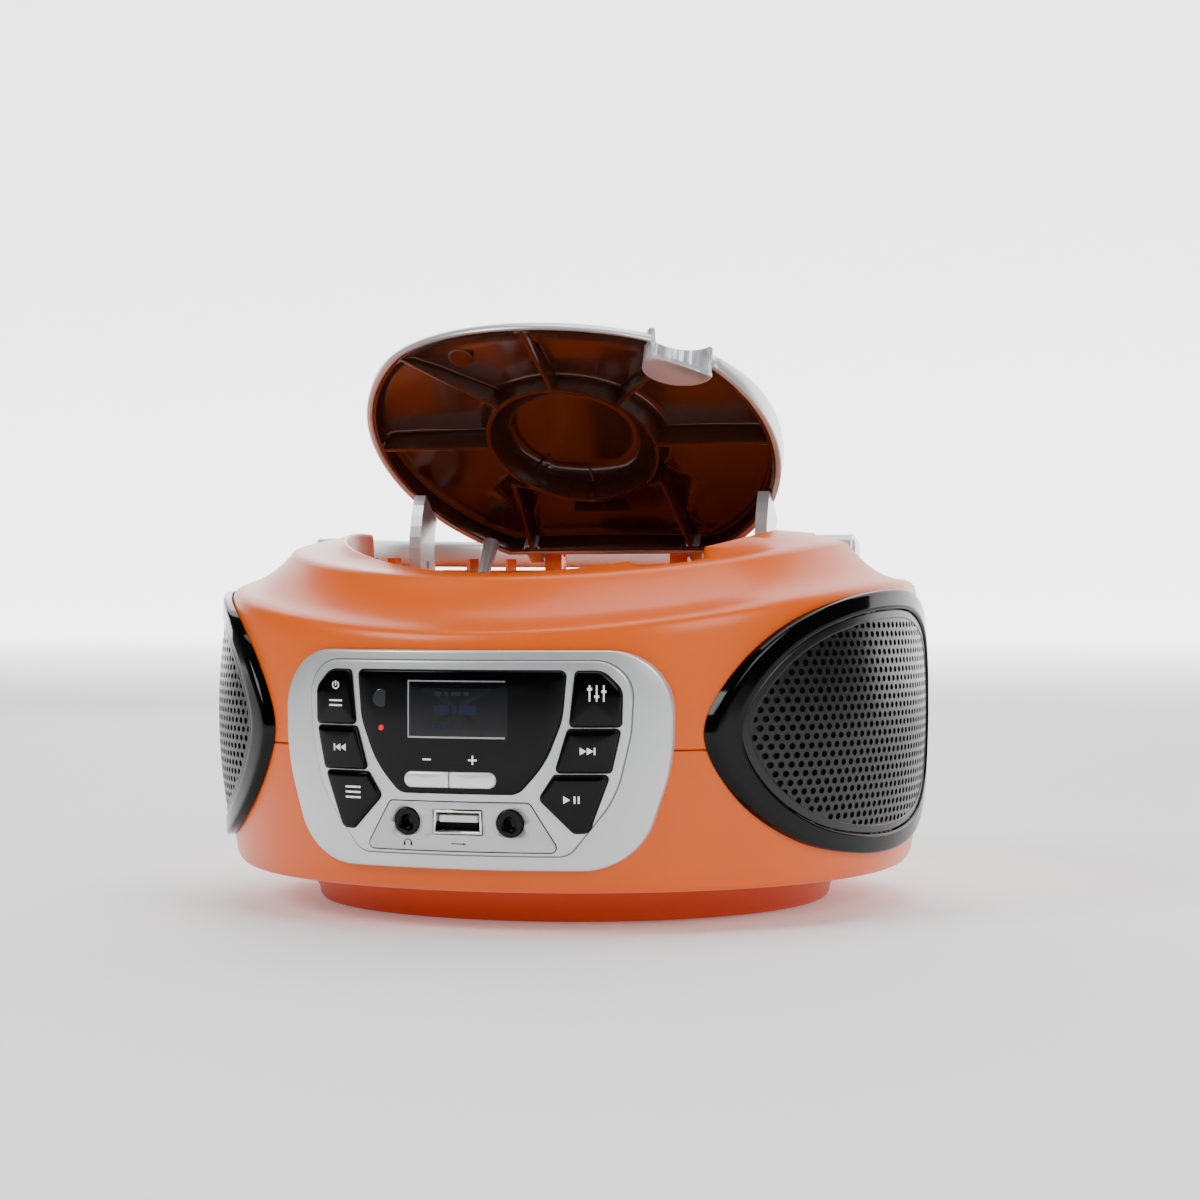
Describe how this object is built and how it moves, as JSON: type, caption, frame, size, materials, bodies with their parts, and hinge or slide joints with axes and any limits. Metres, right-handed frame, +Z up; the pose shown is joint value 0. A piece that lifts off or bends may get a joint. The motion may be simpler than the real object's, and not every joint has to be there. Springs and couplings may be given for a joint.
{
  "type": "portable cd player",
  "caption": "Round portable disc player and radio with a lift-up disc lid, front control panel, side speakers, folding carry handle and telescopic aerial.",
  "frame": {"origin": "on the surface it stands on, under the middle of the cabinet", "axes": "+Z up, +X towards the right-hand speaker seen from the front, so that the control panel faces -Y"},
  "size_m": [0.228, 0.2265, 0.1815],
  "materials": {
    "orange_plastic": "satin orange moulding",
    "silver_paint": "silver painted plastic, satin",
    "smoked_brown": "dark brown translucent-looking plastic",
    "gloss_black": "piano black",
    "grille_black": "dark perforated grille",
    "matt_black": "matt black",
    "light_grey": "light grey satin",
    "bright_steel": "bright steel",
    "chrome": "polished",
    "white_acetal": "natural acetal",
    "rubber": "matt rubber",
    "red_lamp": "red lens",
    "lens_glass": "coated lens",
    "circuit_green": "circuit board",
    "paper_cone": "paper cone"
  },
  "bodies": {
    "cabinet": {"lower_shell": "orange_plastic", "upper_shell": "orange_plastic", "battery_door": "orange_plastic", "battery_compartment": "matt_black", "battery_contact_l": "bright_steel", "battery_contact_r": "bright_steel", "foot_fl": "rubber", "foot_fr": "rubber", "foot_rl": "rubber", "foot_rr": "rubber", "front_panel": "silver_paint", "display_window": "gloss_black", "port_plate": "light_grey", "headphone_jack": "matt_black", "aux_jack": "matt_black", "usb_socket": "chrome", "main_board": "circuit_green", "lcd_module": "gloss_black", "infrared_receiver": "gloss_black", "standby_light": "red_lamp", "speaker_bezel_l": "gloss_black", "speaker_grille_l": "grille_black", "speaker_driver_l": "bright_steel", "speaker_cone_l": "paper_cone", "speaker_bezel_r": "gloss_black", "speaker_grille_r": "grille_black", "speaker_driver_r": "bright_steel", "speaker_cone_r": "paper_cone", "spindle_motor": "bright_steel", "cd_chassis": "matt_black", "lid_switch": "matt_black", "guide_rod_l": "bright_steel", "guide_rod_r": "bright_steel", "hinge_pin_l": "bright_steel", "hinge_pin_r": "bright_steel", "handle_pin_l": "bright_steel", "handle_pin_r": "bright_steel", "aerial_base": "matt_black", "mains_inlet": "matt_black", "transformer": "bright_steel"},
    "turntable": {"turntable": "matt_black"},
    "pickup": {"pickup_sled": "matt_black", "pickup_lens": "lens_glass"},
    "sled_gear": {"sled_gear": "white_acetal"},
    "lid": {"lid": "smoked_brown", "lid_arm_l": "silver_paint", "lid_arm_r": "silver_paint", "lid_switch_peg": "silver_paint"},
    "handle": {"carry_handle": "silver_paint"},
    "aerial": {"aerial_knuckle": "chrome"},
    "aerial_mid": {"aerial_middle": "chrome"},
    "aerial_end": {"aerial_tip": "chrome"},
    "power": {"power_button": "gloss_black"},
    "skip_back": {"skip_back_button": "gloss_black"},
    "menu": {"menu_button": "gloss_black"},
    "eq": {"eq_button": "gloss_black"},
    "skip_forward": {"skip_forward_button": "gloss_black"},
    "play": {"play_button": "gloss_black"},
    "volume_down": {"volume_down_button": "silver_paint"},
    "volume_up": {"volume_up_button": "silver_paint"}
  },
  "joints": [
    {"name": "lid_hinge", "type": "hinge", "parent": "cabinet", "child": "lid", "pos_m": [0, 0.0492, 0.112], "axis": [1, 0, 0], "range_deg": [0, 36]},
    {"name": "handle_hinge", "type": "hinge", "parent": "cabinet", "child": "handle", "pos_m": [0, 0.003, 0.1123], "axis": [1, 0, 0], "range_deg": [0, 86]},
    {"name": "turntable_spin", "type": "hinge", "parent": "cabinet", "child": "turntable", "pos_m": [0, -0.0137, 0.097], "axis": [0, 0, 1], "continuous": true},
    {"name": "sled_slide", "type": "slide", "parent": "cabinet", "child": "pickup", "axis": [0, 1, 0], "range_m": [-0.0055, 0.027]},
    {"name": "sled_gear_spin", "type": "hinge", "parent": "cabinet", "child": "sled_gear", "pos_m": [0.0248, 0.026, 0.084], "axis": [0, 0, 1], "range_deg": [-70, 325]},
    {"name": "aerial_fold", "type": "hinge", "parent": "cabinet", "child": "aerial", "pos_m": [0.052, 0.1036, 0.1038], "axis": [0, 1, 0], "range_deg": [0, 170]},
    {"name": "aerial_extend", "type": "slide", "parent": "aerial", "child": "aerial_mid", "axis": [-1, 0, 0], "range_m": [0, 0.078]},
    {"name": "aerial_tip_extend", "type": "slide", "parent": "aerial_mid", "child": "aerial_end", "axis": [-1, 0, 0], "range_m": [0, 0.074]},
    {"name": "power_press", "type": "slide", "parent": "cabinet", "child": "power", "axis": [0, 1, 0], "range_m": [0, 0.0008], "stiffness_N_per_m": 600},
    {"name": "skip_back_press", "type": "slide", "parent": "cabinet", "child": "skip_back", "axis": [0, 1, 0], "range_m": [0, 0.0008], "stiffness_N_per_m": 600},
    {"name": "menu_press", "type": "slide", "parent": "cabinet", "child": "menu", "axis": [0, 1, 0], "range_m": [0, 0.0008], "stiffness_N_per_m": 600},
    {"name": "eq_press", "type": "slide", "parent": "cabinet", "child": "eq", "axis": [0, 1, 0], "range_m": [0, 0.0008], "stiffness_N_per_m": 600},
    {"name": "skip_forward_press", "type": "slide", "parent": "cabinet", "child": "skip_forward", "axis": [0, 1, 0], "range_m": [0, 0.0008], "stiffness_N_per_m": 600},
    {"name": "play_press", "type": "slide", "parent": "cabinet", "child": "play", "axis": [0, 1, 0], "range_m": [0, 0.0008], "stiffness_N_per_m": 600},
    {"name": "volume_down_press", "type": "slide", "parent": "cabinet", "child": "volume_down", "axis": [0, 1, 0], "range_m": [0, 0.0008], "stiffness_N_per_m": 600},
    {"name": "volume_up_press", "type": "slide", "parent": "cabinet", "child": "volume_up", "axis": [0, 1, 0], "range_m": [0, 0.0008], "stiffness_N_per_m": 600}
  ],
  "couplings": [
    {"joint": "sled_gear_spin", "follows": "sled_slide", "rad_per_m": 204.08}
  ]
}
